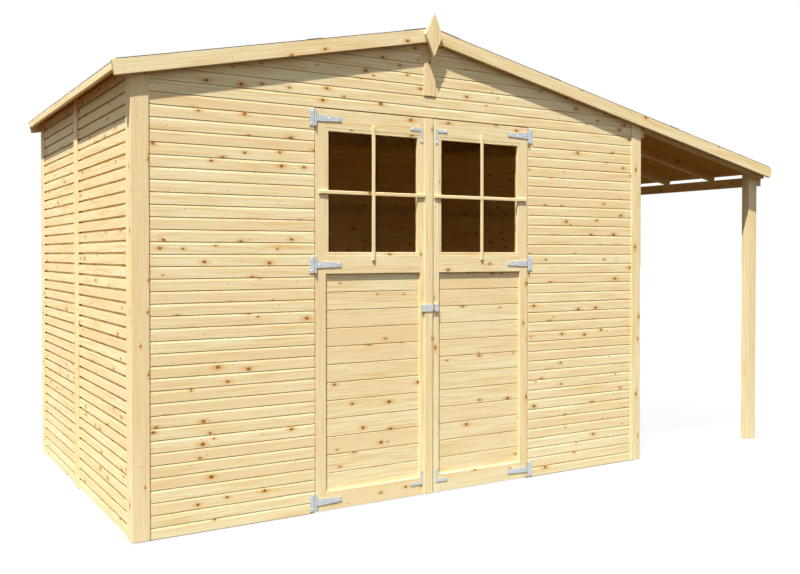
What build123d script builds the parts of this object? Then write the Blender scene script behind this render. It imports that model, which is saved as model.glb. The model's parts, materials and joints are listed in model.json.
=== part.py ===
"""Wooden garden shed with a gabled front, a pair of half-glazed doors and a side canopy.

The frame has +X to the right along the doored front, +Y to the rear and +Z up.  The origin is
on the ground, at the middle of the whole building's outline.  All lengths are in millimetres.
"""

import os
from collections import namedtuple
from itertools import product
from math import cos, radians, sin, tan

from build123d import *

os.makedirs("parts", exist_ok=True)

# Main sizes of the building
cabin_width = 2831.0  # outer board face to outer board face
cabin_depth = 1900.0
eave_overhang = 84.0  # left wall face to the end of the left front bargeboard
canopy_reach = 1131.0  # right wall face to the end of the right front bargeboard
gable_overhang = 28.0  # gable wall face to the bargeboards' outer face
roof_pitch = 11.83  # degrees

# Walls
cladding_thickness = 16.0
cladding_base = 8.0  # the boards stop this far above the ground
frame_depth = 40.0  # how far the wall framing stands in from the boards
stud_width = 40.0
plate_height = 45.0
top_plate_height = 61.5  # at its outer face, from the door head up to the rafters
panel_gap = 2.0  # joint between two wall panels, hidden by a cover batten
side_joint_from_front = 981.0

# Trims on the walls
trim_thickness = 5.0
corner_board_width = 72.0
side_corner_board_width = 73.0
batten_width = 73.0
batten_thickness = 9.0

# Floor
bearer_height = 45.0
bearer_width = 45.0
bearer_count = 5
floor_thickness = 16.0

# Roof
deck_thickness = 16.0
felt_thickness = 3.0
bargeboard_width = 61.0
bargeboard_thickness = 18.0
fascia_height = 32.0
fascia_thickness = 16.0
fascia_setback = 17.0  # the front bargeboards' ends pass the fascia by this much
ridge_purlin_width = 45.0
ridge_purlin_height = 70.0
rafter_width = 40.0
rafter_depth = 46.0
cabin_rafter_count = 4

# Finials, and the block under the front one
finial_width = 98.0
finial_height = 212.0
finial_thickness = 14.0
finial_centre_drop = 33.0  # below the ridge line of the roof boards
ridge_block_width = 66.0
ridge_block_thickness = 4.0
ridge_block_height = 300.0

# Canopy
ledger_thickness = 34.0
canopy_rafter_count = 6
canopy_rafter_front_reach = 5.0  # the first rafter stands this far past the front wall
first_rafter_depth = 58.0  # it hangs lower than the others, in front of the post and the beam
canopy_rafter_rear_inset = 25.0  # the last one stops this far inside the rear wall
post_width = 75.0
post_depth = 50.0
post_from_gable = 37.0
beam_width = 40.0
beam_height = 56.0
beam_inset = 17.0  # end of the roof to the beam's outer face

# Doors
door_opening_width = 1222.0
door_head_height = 1804.0
door_gap = 5.0  # at the sides and top of the pair
door_ground_gap = 10.0
meeting_gap = 8.0
door_thickness = 40.0
stile_width = 51.0
wide_meeting_stile_width = 70.0  # left leaf, under the meeting strip
narrow_meeting_stile_width = 31.0  # right leaf, beside the meeting strip
rail_height = 83.0
middle_rail_centre = 1107.5
door_panel_recess = 9.0
door_panel_thickness = 16.0
glass_thickness = 4.0
glass_recess = 15.0
strip_width = 45.0
strip_thickness = 5.0
strip_reach = 17.0  # the strip's right edge, right of the building's middle

# Hinges and other ironwork of the doors
hinge_plate_width = 22.0
hinge_plate_height = 74.0
hinge_metal = 2.5
strap_length = 130.0
strap_root_height = 31.0
strap_tip_height = 19.0
knuckle_radius = 5.0
pin_radius = 2.5
pin_clearance = 0.06
knuckle_gap = 0.4
brace_arm = 68.0
brace_width = 14.0
brace_thickness = 2.0
brace_from_stile_edge = 10.0
brace_from_rail_edge = 48.0
latch_height = 34.0
latch_centre_height = 898.0
latch_foot_width = 18.0
keeper_width = 24.0

# Places worked out from the sizes above
total_width = eave_overhang + cabin_width + canopy_reach
wall_left = eave_overhang - total_width / 2
wall_right = wall_left + cabin_width
wall_front = -cabin_depth / 2
wall_rear = cabin_depth / 2
inner_left = wall_left + cladding_thickness
inner_right = wall_right - cladding_thickness
inner_front = wall_front + cladding_thickness
inner_rear = wall_rear - cladding_thickness
room_left = inner_left + frame_depth
room_right = inner_right - frame_depth
room_front = inner_front + frame_depth
room_rear = inner_rear - frame_depth
ridge_x = (wall_left + wall_right) / 2
side_joint = wall_front + side_joint_from_front
opening_left = ridge_x - door_opening_width / 2
opening_right = ridge_x + door_opening_width / 2
barge_front = wall_front - gable_overhang
barge_rear = wall_rear + gable_overhang
deck_front = barge_front + bargeboard_thickness
deck_rear = barge_rear - bargeboard_thickness

pitch_tan = tan(radians(roof_pitch))
pitch_cos = cos(radians(roof_pitch))
pitch_sin = sin(radians(roof_pitch))
rafter_underside = -deck_thickness - rafter_depth
top_plate_top = door_head_height + top_plate_height
ridge_height = top_plate_top - rafter_underside / pitch_cos + (ridge_x - inner_left) * pitch_tan
LEFT = -1
RIGHT = 1
slope_length = {
    LEFT: (cabin_width / 2 + eave_overhang) / pitch_cos,
    RIGHT: (cabin_width / 2 + canopy_reach) / pitch_cos,
}


def roof_line(x, above):
    """Height, at one x, of the plane that lies so far above the top of the roof boards."""
    return ridge_height - abs(x - ridge_x) * pitch_tan + above / pitch_cos


def slope_point(side, along, above):
    """Point in X and Z, measured down the slope from the ridge and square off the roof boards."""
    x = ridge_x + side * (along * pitch_cos + above * pitch_sin)
    return x, ridge_height - along * pitch_sin + above * pitch_cos


def under_deck(x):
    """Height of the underside of the roof boards at one x."""
    return roof_line(x, -deck_thickness)


def save(piece, label):
    """Name a finished sub-part and write it as one file."""
    piece.part.label = label
    export_step(piece.part, f"parts/{label}.step")


def save_blocks(label, blocks):
    """A sub-part of plain timbers, each given by its limits in X, Y and Z."""
    with BuildPart() as timbers:
        for (x_low, x_high), (y_low, y_high), (z_low, z_high) in blocks:
            with Locations(((x_low + x_high) / 2, (y_low + y_high) / 2, (z_low + z_high) / 2)):
                Box(x_high - x_low, y_high - y_low, z_high - z_low)
    save(timbers, label)


def save_sections(label, sections):
    """A sub-part of boards, each an outline in X and Z carried from one Y to another."""
    with BuildPart() as boards:
        for outline, (y_low, y_high) in sections:
            with BuildSketch(Plane.XZ.offset(-y_high)):
                with BuildLine():
                    Polyline(*outline, close=True)
                make_face()
            extrude(amount=y_high - y_low)
    save(boards, label)


def under_roof(x_low, x_high, z_low, above):
    """Outline of an upright board on one slope whose top follows the roof."""
    return [
        (x_low, z_low),
        (x_high, z_low),
        (x_high, roof_line(x_high, above)),
        (x_low, roof_line(x_low, above)),
    ]


def under_ridge(x_low, x_high, z_low, above):
    """Outline of an upright board across the ridge whose top follows both slopes."""
    return [
        (x_low, z_low),
        (x_high, z_low),
        (x_high, roof_line(x_high, above)),
        (ridge_x, roof_line(ridge_x, above)),
        (x_low, roof_line(x_low, above)),
    ]


def sloped_board(side, along, above_low, above_high):
    """Outline of a board on one slope, from the ridge down to a square-cut end."""
    return [
        (ridge_x, roof_line(ridge_x, above_low)),
        slope_point(side, along, above_low),
        slope_point(side, along, above_high),
        (ridge_x, roof_line(ridge_x, above_high)),
    ]


def both_gables(outline, depth, outer_front, outer_rear):
    """The same outline at the front and at the rear, running in from the two outer faces."""
    return [
        (outline, (outer_front, outer_front + depth)),
        (outline, (outer_rear - depth, outer_rear)),
    ]


def even_places(low, high, count):
    """Evenly spaced places from low to high, with one at each end."""
    step = (high - low) / (count - 1)
    return [low + step * number for number in range(count)]


# Floor: bearers on the ground under a boarded deck, inside the wall framing
save_blocks(
    "floor_bearers",
    [
        ((x, x + bearer_width), (room_front, room_rear), (0, bearer_height))
        for x in even_places(room_left, room_right - bearer_width, bearer_count)
    ],
)
floor_top = bearer_height + floor_thickness
save_blocks(
    "floor_boards",
    [((room_left, room_right), (room_front, room_rear), (bearer_height, floor_top))],
)

# Wall framing: bottom plates on the ground, studs on them, plates under the side rafters
side_plate_span = (room_front + panel_gap, room_rear - panel_gap)
save_blocks(
    "bottom_plates",
    [
        ((inner_left, opening_left), (inner_front, room_front), (0, plate_height)),
        ((opening_right, inner_right), (inner_front, room_front), (0, plate_height)),
        ((inner_left, inner_right), (room_rear, inner_rear), (0, plate_height)),
        ((inner_left, room_left), side_plate_span, (0, plate_height)),
        ((room_right, inner_right), side_plate_span, (0, plate_height)),
    ],
)
stud_span = (plate_height, door_head_height)
front_stud_places = (
    inner_left,
    opening_left - stud_width,
    opening_right,
    inner_right - stud_width,
)
rear_stud_places = (inner_left, ridge_x - stud_width / 2, inner_right - stud_width)
side_stud_span = (side_joint - stud_width / 2, side_joint + stud_width / 2)
save_blocks(
    "wall_studs",
    [((x, x + stud_width), (inner_front, room_front), stud_span) for x in front_stud_places]
    + [((x, x + stud_width), (room_rear, inner_rear), stud_span) for x in rear_stud_places]
    + [((x, x + frame_depth), side_stud_span, stud_span) for x in (inner_left, room_right)],
)
save_sections(
    "top_plates",
    [
        (
            under_roof(x, x + frame_depth, door_head_height, rafter_underside),
            (inner_front, inner_rear),
        )
        for x in (inner_left, room_right)
    ],
)
save_blocks(
    "door_head",
    [
        (
            (opening_left - stud_width, opening_right + stud_width),
            (inner_front, room_front),
            (door_head_height, door_head_height + stud_width),
        )
    ],
)

# Walls: the front is split beside and over the doorway, the others at their panel joints
wall_span = (cladding_base, door_head_height)
front_slab = (wall_front, inner_front)
rear_slab = (inner_rear, wall_rear)
save_blocks(
    "front_wall",
    [
        ((wall_left, opening_left), front_slab, wall_span),
        ((opening_right, wall_right), front_slab, wall_span),
    ],
)
gable_outline = under_ridge(wall_left, wall_right, door_head_height, -deck_thickness)
save_sections("gables", both_gables(gable_outline, cladding_thickness, wall_front, wall_rear))
save_blocks(
    "rear_wall",
    [
        ((wall_left, ridge_x - panel_gap / 2), rear_slab, wall_span),
        ((ridge_x + panel_gap / 2, wall_right), rear_slab, wall_span),
    ],
)
side_panel_spans = (
    (inner_front, side_joint - panel_gap / 2),
    (side_joint + panel_gap / 2, inner_rear),
)
left_wall_outline = under_roof(wall_left, inner_left, cladding_base, -deck_thickness)
save_sections("left_wall", [(left_wall_outline, span) for span in side_panel_spans])
right_wall_outline = under_roof(inner_right, wall_right, cladding_base, -deck_thickness)
save_sections("right_wall", [(right_wall_outline, span) for span in side_panel_spans])

# Trims: corner boards on all four faces, and battens over the panel joints
trim_left = wall_left - trim_thickness
trim_right = wall_right + trim_thickness
trim_front = wall_front - trim_thickness
trim_rear = wall_rear + trim_thickness
left_corner_outline = under_roof(
    trim_left, trim_left + corner_board_width, cladding_base, -deck_thickness
)
right_corner_outline = under_roof(
    trim_right - corner_board_width, trim_right, cladding_base, -deck_thickness
)
corner_outlines = (left_corner_outline, right_corner_outline)
gable_trim_spans = ((trim_front, wall_front), (wall_rear, trim_rear))
save_sections(
    "gable_corner_boards",
    [(outline, span) for outline in corner_outlines for span in gable_trim_spans],
)
side_corner_spans = (
    (wall_front, wall_front + side_corner_board_width),
    (wall_rear - side_corner_board_width, wall_rear),
)


def side_trim_outlines(thickness):
    """Outlines of a trim on the left wall and on the right wall, where it stops at the ledger."""
    left_outline = under_roof(wall_left - thickness, wall_left, cladding_base, -deck_thickness)
    right_outline = [
        (wall_right, cladding_base),
        (wall_right + thickness, cladding_base),
        (wall_right + thickness, door_head_height),
        (wall_right, door_head_height),
    ]
    return left_outline, right_outline


save_sections(
    "side_corner_boards",
    [
        (outline, span)
        for outline in side_trim_outlines(trim_thickness)
        for span in side_corner_spans
    ],
)
side_batten_span = (side_joint - batten_width / 2, side_joint + batten_width / 2)
rear_batten_outline = under_ridge(
    ridge_x - batten_width / 2, ridge_x + batten_width / 2, cladding_base, -deck_thickness
)
save_sections(
    "cover_battens",
    [(outline, side_batten_span) for outline in side_trim_outlines(batten_thickness)]
    + [(rear_batten_outline, (wall_rear, wall_rear + batten_thickness))],
)

# Roof structure: a ridge purlin between the gables, rafters from it to the side plates
purlin_outline = under_ridge(
    ridge_x - ridge_purlin_width / 2,
    ridge_x + ridge_purlin_width / 2,
    ridge_height - deck_thickness - ridge_purlin_height,
    -deck_thickness,
)
save_sections("ridge_purlin", [(purlin_outline, (inner_front, inner_rear))])


def rafter_outline(x_high_end, x_low_end):
    """Outline of a rafter with plumb-cut ends, hung under the roof boards."""
    return [
        (x_high_end, roof_line(x_high_end, rafter_underside)),
        (x_low_end, roof_line(x_low_end, rafter_underside)),
        (x_low_end, under_deck(x_low_end)),
        (x_high_end, under_deck(x_high_end)),
    ]


cabin_rafter_places = even_places(inner_front, inner_rear - rafter_width, cabin_rafter_count)
cabin_rafter_outlines = (
    rafter_outline(ridge_x - ridge_purlin_width / 2, inner_left),
    rafter_outline(ridge_x + ridge_purlin_width / 2, inner_right),
)
save_sections(
    "cabin_rafters",
    [
        (outline, (y, y + rafter_width))
        for outline in cabin_rafter_outlines
        for y in cabin_rafter_places
    ],
)

# Roof covering: boards, eave fascias, bargeboards at both gables, and felt over all of it
deck_length = {
    side: slope_length[side] - fascia_setback - fascia_thickness for side in (LEFT, RIGHT)
}
felt_length = {side: slope_length[side] - fascia_setback for side in (LEFT, RIGHT)}
deck_span = (deck_front, deck_rear)
fascia_outlines = [
    [
        slope_point(side, deck_length[side], -fascia_height),
        slope_point(side, felt_length[side], -fascia_height),
        slope_point(side, felt_length[side], 0),
        slope_point(side, deck_length[side], 0),
    ]
    for side in (LEFT, RIGHT)
]
save_sections("eave_fascias", [(outline, deck_span) for outline in fascia_outlines])
for side, side_name in ((LEFT, "left"), (RIGHT, "right")):
    deck_outline = sloped_board(side, deck_length[side], -deck_thickness, 0)
    save_sections(f"{side_name}_roof_deck", [(deck_outline, deck_span)])
    front_barge_outline = sloped_board(side, slope_length[side], -bargeboard_width, 0)
    rear_barge_outline = sloped_board(side, felt_length[side], -bargeboard_width, 0)
    save_sections(
        f"{side_name}_bargeboards",
        [
            (front_barge_outline, (barge_front, deck_front)),
            (rear_barge_outline, (deck_rear, barge_rear)),
        ],
    )
    felt_outline = sloped_board(side, felt_length[side], 0, felt_thickness)
    save_sections(f"{side_name}_roof_felt", [(felt_outline, (barge_front, barge_rear))])

# Finials on the bargeboards, and the block on the front gable behind one of them
finial_centre = ridge_height - finial_centre_drop
finial_outline = [
    (ridge_x, finial_centre - finial_height / 2),
    (ridge_x + finial_width / 2, finial_centre),
    (ridge_x, finial_centre + finial_height / 2),
    (ridge_x - finial_width / 2, finial_centre),
]
finial_front = barge_front - finial_thickness
finial_rear = barge_rear + finial_thickness
save_sections(
    "finials", both_gables(finial_outline, finial_thickness, finial_front, finial_rear)
)
ridge_block_outline = under_ridge(
    ridge_x - ridge_block_width / 2,
    ridge_x + ridge_block_width / 2,
    under_deck(ridge_x) - ridge_block_height,
    -deck_thickness,
)
ridge_block_span = (wall_front - ridge_block_thickness, wall_front)
save_sections("ridge_block", [(ridge_block_outline, ridge_block_span)])

# Canopy: a ledger on the right wall, two posts, a beam outside them and the rafters between
ledger_face = wall_right + ledger_thickness
ledger_outline = under_roof(wall_right, ledger_face, door_head_height, -deck_thickness)
save_sections("canopy_ledger", [(ledger_outline, (wall_front, wall_rear))])

roof_end = ridge_x + slope_length[RIGHT] * pitch_cos
beam_outer = roof_end - beam_inset
beam_inner = beam_outer - beam_width
beam_top = roof_line(beam_inner, rafter_underside)
post_outline = under_roof(beam_inner - post_width, beam_inner, 0, rafter_underside)
post_front = wall_front + post_from_gable
post_rear = wall_rear - post_from_gable
save_sections(
    "canopy_posts", both_gables(post_outline, post_depth, post_front, post_rear)
)
save_blocks(
    "canopy_beam",
    [((beam_inner, beam_outer), (post_front, post_rear), (beam_top - beam_height, beam_top))],
)
rafter_end_rise = (beam_top - ridge_height + deck_length[RIGHT] * pitch_sin) / pitch_cos
canopy_rafter_outline = [
    (ledger_face, roof_line(ledger_face, rafter_underside)),
    (beam_inner, beam_top),
    slope_point(RIGHT, deck_length[RIGHT], rafter_end_rise),
    slope_point(RIGHT, deck_length[RIGHT], -deck_thickness),
    (ledger_face, under_deck(ledger_face)),
]
first_rafter_underside = -deck_thickness - first_rafter_depth
first_rafter_outline = [
    (ledger_face, roof_line(ledger_face, first_rafter_underside)),
    slope_point(RIGHT, deck_length[RIGHT], first_rafter_underside),
    slope_point(RIGHT, deck_length[RIGHT], -deck_thickness),
    (ledger_face, under_deck(ledger_face)),
]
canopy_rafter_places = even_places(
    wall_front - canopy_rafter_front_reach,
    wall_rear - canopy_rafter_rear_inset - rafter_width,
    canopy_rafter_count,
)
save_sections(
    "canopy_rafters",
    [(first_rafter_outline, (canopy_rafter_places[0], canopy_rafter_places[0] + rafter_width))]
    + [(canopy_rafter_outline, (y, y + rafter_width)) for y in canopy_rafter_places[1:]],
)

# Doors: two leaves of stiles and rails, boarded below and glazed above
Leaf = namedtuple("Leaf", "name left right left_stile right_stile hinge_side hinge_edge")
meeting_line = ridge_x + strip_reach
leaves = (
    Leaf(
        "left_door",
        opening_left + door_gap,
        meeting_line,
        stile_width,
        wide_meeting_stile_width,
        LEFT,
        opening_left,
    ),
    Leaf(
        "right_door",
        meeting_line + meeting_gap,
        opening_right - door_gap,
        narrow_meeting_stile_width,
        stile_width,
        RIGHT,
        opening_right,
    ),
)
leaf_bottom = door_ground_gap
leaf_top = door_head_height - door_gap
leaf_span = (wall_front, wall_front + door_thickness)
bottom_rail_top = leaf_bottom + rail_height
top_rail_bottom = leaf_top - rail_height
middle_rail_bottom = middle_rail_centre - rail_height / 2
middle_rail_top = middle_rail_centre + rail_height / 2
rail_spans = (
    (leaf_bottom, bottom_rail_top),
    (middle_rail_bottom, middle_rail_top),
    (top_rail_bottom, leaf_top),
)
rail_centres = [(low + high) / 2 for low, high in rail_spans]
panel_front = wall_front + door_panel_recess
glass_front = wall_front + glass_recess
hinge_y = wall_front - knuckle_radius
metal_front = wall_front - hinge_metal


def save_hinge_plates():
    """Plates on the wall, each with two knuckles and the pin that a strap's eye turns on."""
    knuckle_height = (hinge_plate_height - strap_root_height) / 2 - knuckle_gap
    knuckle_from_centre = (hinge_plate_height - knuckle_height) / 2
    metal_y = wall_front - hinge_metal / 2
    with BuildPart() as plates:
        for leaf, centre in product(leaves, rail_centres):
            outward = leaf.hinge_side
            hinge_x = leaf.hinge_edge - outward * door_gap / 2
            plate_edge = hinge_x + outward * (knuckle_radius + knuckle_gap)
            with Locations((plate_edge + outward * hinge_plate_width / 2, metal_y, centre)):
                Box(hinge_plate_width, hinge_metal, hinge_plate_height)
            with Locations((hinge_x, hinge_y, centre)):
                Cylinder(pin_radius, hinge_plate_height)
            for middle in (centre - knuckle_from_centre, centre + knuckle_from_centre):
                with Locations((hinge_x, hinge_y, middle)):
                    Cylinder(knuckle_radius, knuckle_height)
                with Locations(((hinge_x + plate_edge) / 2, metal_y, middle)):
                    Box(knuckle_radius + knuckle_gap, hinge_metal, knuckle_height)
    save(plates, "hinge_plates")


def save_straps(leaf):
    """Three tapered straps on the leaf, each with an eye around its pin."""
    inward = -leaf.hinge_side
    hinge_x = leaf.hinge_edge + inward * door_gap / 2
    strap_start = hinge_x + inward * (pin_radius + pin_clearance + hinge_metal / 2)
    strap_end = hinge_x + inward * (door_gap / 2 + strap_length)
    eye_height = strap_root_height - knuckle_gap
    with BuildPart() as straps:
        for centre in rail_centres:
            with BuildSketch(Plane.XZ.offset(-wall_front)):
                with BuildLine():
                    Polyline(
                        (strap_start, centre - eye_height / 2),
                        (strap_end, centre - strap_tip_height / 2),
                        (strap_end, centre + strap_tip_height / 2),
                        (strap_start, centre + eye_height / 2),
                        close=True,
                    )
                make_face()
            extrude(amount=hinge_metal)
            with Locations((hinge_x, hinge_y, centre)):
                Cylinder(knuckle_radius, eye_height)
                Cylinder(pin_radius + pin_clearance, hinge_plate_height, mode=Mode.SUBTRACT)
    save(straps, f"{leaf.name}_straps")


def save_braces(leaf):
    """Flat corner braces that tie the meeting stile to the top and bottom rails."""
    inward = leaf.hinge_side
    meeting_edge = leaf.right if leaf.hinge_side == LEFT else leaf.left
    if leaf.hinge_side == LEFT:
        meeting_edge = meeting_edge - strip_width
    corner_x = meeting_edge + inward * brace_from_stile_edge
    with BuildPart() as braces:
        for corner_z, upright in (
            (leaf_top - brace_from_rail_edge, -1),
            (leaf_bottom + brace_from_rail_edge, 1),
        ):
            arm_x = corner_x + inward * brace_arm
            tip_z = corner_z + upright * brace_arm
            inner_x = corner_x + inward * brace_width
            inner_z = corner_z + upright * brace_width
            with BuildSketch(Plane.XZ.offset(-wall_front)):
                with BuildLine():
                    Polyline(
                        (corner_x, corner_z),
                        (arm_x, corner_z),
                        (arm_x, inner_z),
                        (inner_x, inner_z),
                        (inner_x, tip_z),
                        (corner_x, tip_z),
                        close=True,
                    )
                make_face()
            extrude(amount=brace_thickness)
    save(braces, f"{leaf.name}_braces")


for leaf in leaves:
    leaf_height = (leaf_bottom, leaf_top)
    field = (leaf.left + leaf.left_stile, leaf.right - leaf.right_stile)
    save_blocks(
        f"{leaf.name}_stiles",
        [
            ((leaf.left, field[0]), leaf_span, leaf_height),
            ((field[1], leaf.right), leaf_span, leaf_height),
        ],
    )
    save_blocks(f"{leaf.name}_rails", [(field, leaf_span, span) for span in rail_spans])
    save_blocks(
        f"{leaf.name}_panel",
        [
            (
                field,
                (panel_front, panel_front + door_panel_thickness),
                (bottom_rail_top, middle_rail_bottom),
            )
        ],
    )
    save_blocks(
        f"{leaf.name}_glass",
        [
            (
                field,
                (glass_front, glass_front + glass_thickness),
                (middle_rail_top, top_rail_bottom),
            )
        ],
    )
    save_straps(leaf)
    save_braces(leaf)
save_hinge_plates()

# Meeting strip on the left leaf, and the latch with its keeper on the right leaf
strip_left = meeting_line - strip_width
strip_front = wall_front - strip_thickness
save_blocks(
    "meeting_strip",
    [((strip_left, meeting_line), (strip_front, wall_front), (leaf_bottom, leaf_top))],
)
latch_front = strip_front - hinge_metal
latch_span = (latch_centre_height - latch_height / 2, latch_centre_height + latch_height / 2)
save_blocks(
    "latch",
    [
        ((strip_left - latch_foot_width, strip_left), (latch_front, wall_front), latch_span),
        ((strip_left, meeting_line), (latch_front, strip_front), latch_span),
    ],
)
keeper_left = meeting_line + meeting_gap
save_blocks(
    "latch_keeper",
    [((keeper_left, keeper_left + keeper_width), (latch_front, wall_front), latch_span)],
)
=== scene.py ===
# %% [markdown]
# This lesson dresses a small pine garden shed. The solids come from a CAD file and stay where they
# are. We lay real boards over the plain wall slabs, give every timber its grain, and light the whole
# thing like an object in a catalogue. All lengths are in metres, with +X to the right along the
# doored front, +Y to the rear and +Z up.

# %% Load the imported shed
import json
import math

import bmesh
import bpy
import numpy as np
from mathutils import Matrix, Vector

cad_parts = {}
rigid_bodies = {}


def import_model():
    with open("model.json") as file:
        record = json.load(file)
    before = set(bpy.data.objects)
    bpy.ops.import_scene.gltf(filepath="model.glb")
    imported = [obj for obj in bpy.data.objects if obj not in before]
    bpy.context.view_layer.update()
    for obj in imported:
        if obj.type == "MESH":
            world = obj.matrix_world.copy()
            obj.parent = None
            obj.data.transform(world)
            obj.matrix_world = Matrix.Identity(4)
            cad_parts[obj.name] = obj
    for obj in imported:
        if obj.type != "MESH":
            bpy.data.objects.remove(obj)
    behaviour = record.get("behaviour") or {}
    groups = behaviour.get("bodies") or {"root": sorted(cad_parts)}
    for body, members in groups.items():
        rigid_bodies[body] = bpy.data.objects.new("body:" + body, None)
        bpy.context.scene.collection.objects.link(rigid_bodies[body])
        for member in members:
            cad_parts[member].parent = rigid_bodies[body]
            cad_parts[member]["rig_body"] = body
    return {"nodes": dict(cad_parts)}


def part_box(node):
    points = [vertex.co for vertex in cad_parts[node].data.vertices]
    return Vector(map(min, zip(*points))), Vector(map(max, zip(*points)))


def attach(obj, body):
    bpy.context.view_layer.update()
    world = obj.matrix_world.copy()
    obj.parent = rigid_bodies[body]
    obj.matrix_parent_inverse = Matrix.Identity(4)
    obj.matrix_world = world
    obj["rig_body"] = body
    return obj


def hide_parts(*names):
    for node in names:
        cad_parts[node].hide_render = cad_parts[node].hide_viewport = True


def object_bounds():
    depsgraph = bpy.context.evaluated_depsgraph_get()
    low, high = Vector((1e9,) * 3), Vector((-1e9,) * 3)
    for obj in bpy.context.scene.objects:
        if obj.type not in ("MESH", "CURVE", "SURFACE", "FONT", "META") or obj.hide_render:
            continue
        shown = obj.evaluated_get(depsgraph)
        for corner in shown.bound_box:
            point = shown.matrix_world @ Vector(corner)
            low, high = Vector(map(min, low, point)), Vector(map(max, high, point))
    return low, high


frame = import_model()
cad_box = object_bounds()
chance = np.random.default_rng(seed=21)
print("nodes:", len(frame["nodes"]), "box:", [tuple(round(v, 3) for v in corner) for corner in cad_box])

# %% [markdown]
# Every later step needs the same few places: the wall faces, the ridge and the doorway. They could
# be typed in, but then they would drift from the CAD. Reading them from the nodes' boxes keeps one
# source for each size. A few sizes that no box shows are repeated where they are needed, such as the
# roof's slope, the thickness of its boards and the gap beside the doors.

# %% Places taken from the frame
roof_pitch = math.radians(11.83)
roof_tan = math.tan(roof_pitch)
roof_cos = math.cos(roof_pitch)
roof_sin = math.sin(roof_pitch)
roof_board_thickness = 0.016
door_gap = 0.005

front_low, front_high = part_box("front_wall")
rear_low, rear_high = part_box("rear_wall")
wall_left, wall_front, boards_bottom = front_low
wall_right, inner_front, door_head = front_high
inner_rear = rear_low.y
wall_rear = rear_high.y
cladding_thickness = inner_front - wall_front
ridge_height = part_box("left_roof_deck")[1].z
ridge_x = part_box("left_roof_deck")[1].x
opening_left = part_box("left_door_stiles")[0].x - door_gap
opening_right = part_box("right_door_stiles")[1].x + door_gap
gable_peak = ridge_height - roof_board_thickness / roof_cos


def under_roof_boards(x):
    """Height of the roof boards' underside: the peak less the slope times the way from the ridge."""
    return gable_peak - np.abs(x - ridge_x) * roof_tan


print("ridge", round(ridge_height, 3), "doorway", round(opening_left, 3), "to", round(opening_right, 3))

# %% [markdown]
# Shader maths reads best as plain arithmetic. One small class wraps a node's output: adding,
# multiplying or comparing two of them puts a Math node into the material. Everything that isn't
# arithmetic comes from its one method `node`, which sets a node up and joins its inputs.


# %% Shader values that can be added and multiplied
class Signal:
    """A node's output; arithmetic on it adds Math nodes to the same material."""

    def __init__(self, socket):
        self.socket = socket

    @staticmethod
    def node(tree, kind, settings, inputs):
        """Add one node: its settings first, then a value or a link for each named or numbered input."""
        made = tree.nodes.new(kind)
        for name, value in settings.items():
            setattr(made, name, value)
        shown = [socket for socket in made.inputs if socket.enabled]
        for key, value in inputs.items():
            socket = shown[key] if isinstance(key, int) else next(s for s in shown if s.name == key)
            if isinstance(value, Signal):
                tree.links.new(value.socket, socket)
            else:
                socket.default_value = value
        return {socket.name: Signal(socket) for socket in made.outputs if socket.enabled}

    def math(self, operation, *others):
        """One Math node, fed by this value and the others in order."""
        tree = self.socket.id_data
        values = dict(enumerate((self,) + others))
        return Signal.node(tree, "ShaderNodeMath", {"operation": operation}, values)["Value"]

    def __add__(self, other):
        return self.math("ADD", other)

    __radd__ = __add__

    def __mul__(self, other):
        return self.math("MULTIPLY", other)

    __rmul__ = __mul__

    def __sub__(self, other):
        return self.math("SUBTRACT", other)

    def __rsub__(self, other):
        return (self * -1.0) + other

    def __truediv__(self, other):
        return self.math("DIVIDE", other)

    def __gt__(self, other):
        return self.math("GREATER_THAN", other)

    def __pow__(self, other):
        return self.math("POWER", other)

    def held(self):
        """The value held between 0 and 1."""
        return self.math("MAXIMUM", 0.0).math("MINIMUM", 1.0)

    def wrapped(self):
        """What is left after the whole number is taken away."""
        return self.math("FRACT")


def blend_colours(tree, share, first, second):
    """The first colour, with a share of the second mixed in."""
    colours = {"Factor": share, "A": first, "B": second}
    return Signal.node(tree, "ShaderNodeMix", {"data_type": "RGBA"}, colours)["Result"]


def stretched(tree, vector, factors):
    """A vector times a fixed vector, part by part."""
    made = Signal.node(tree, "ShaderNodeVectorMath", {"operation": "MULTIPLY"}, {0: vector, 1: factors})
    return made["Vector"]


def noise(tree, vector, scale, detail):
    """Soft random values between 0 and 1 over a flat pattern."""
    made = Signal.node(
        tree,
        "ShaderNodeTexNoise",
        {"noise_dimensions": "2D"},
        {"Vector": vector, "Scale": scale, "Detail": detail},
    )
    return made["Fac"]


def bumped(tree, height, strength, depth):
    """The surface's direction, tilted by a height that counts up to a depth in metres."""
    relief = {"Height": height, "Strength": strength, "Distance": depth}
    return Signal.node(tree, "ShaderNodeBump", {}, relief)["Normal"]


def new_finish(name):
    """An empty material with a Principled shader, ready for its inputs."""
    finish = bpy.data.materials.new(name)
    finish.use_nodes = True
    shader = finish.node_tree.nodes["Principled BSDF"]
    return finish, finish.node_tree, shader


def feed(tree, shader, **links):
    """Join values to the shader's inputs; an underscore in a name stands for a space."""
    for name, signal in links.items():
        tree.links.new(signal.socket, shader.inputs[name.replace("_", " ")])


print("shader helpers ready")

# %% [markdown]
# Planed pine is pale yellow with amber growth lines along each board, and small red-brown knots
# with an orange ring. A wood picture would repeat on every board. Instead each board carries a UV
# map in real metres, along and across its own grain, shifted by a random amount. One material then
# gives every board a different cut of the same endless plank: growth lines from stretched noise,
# and knots from Voronoi cells, of which only some hold a knot. Knots come first, as three masks.

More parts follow.
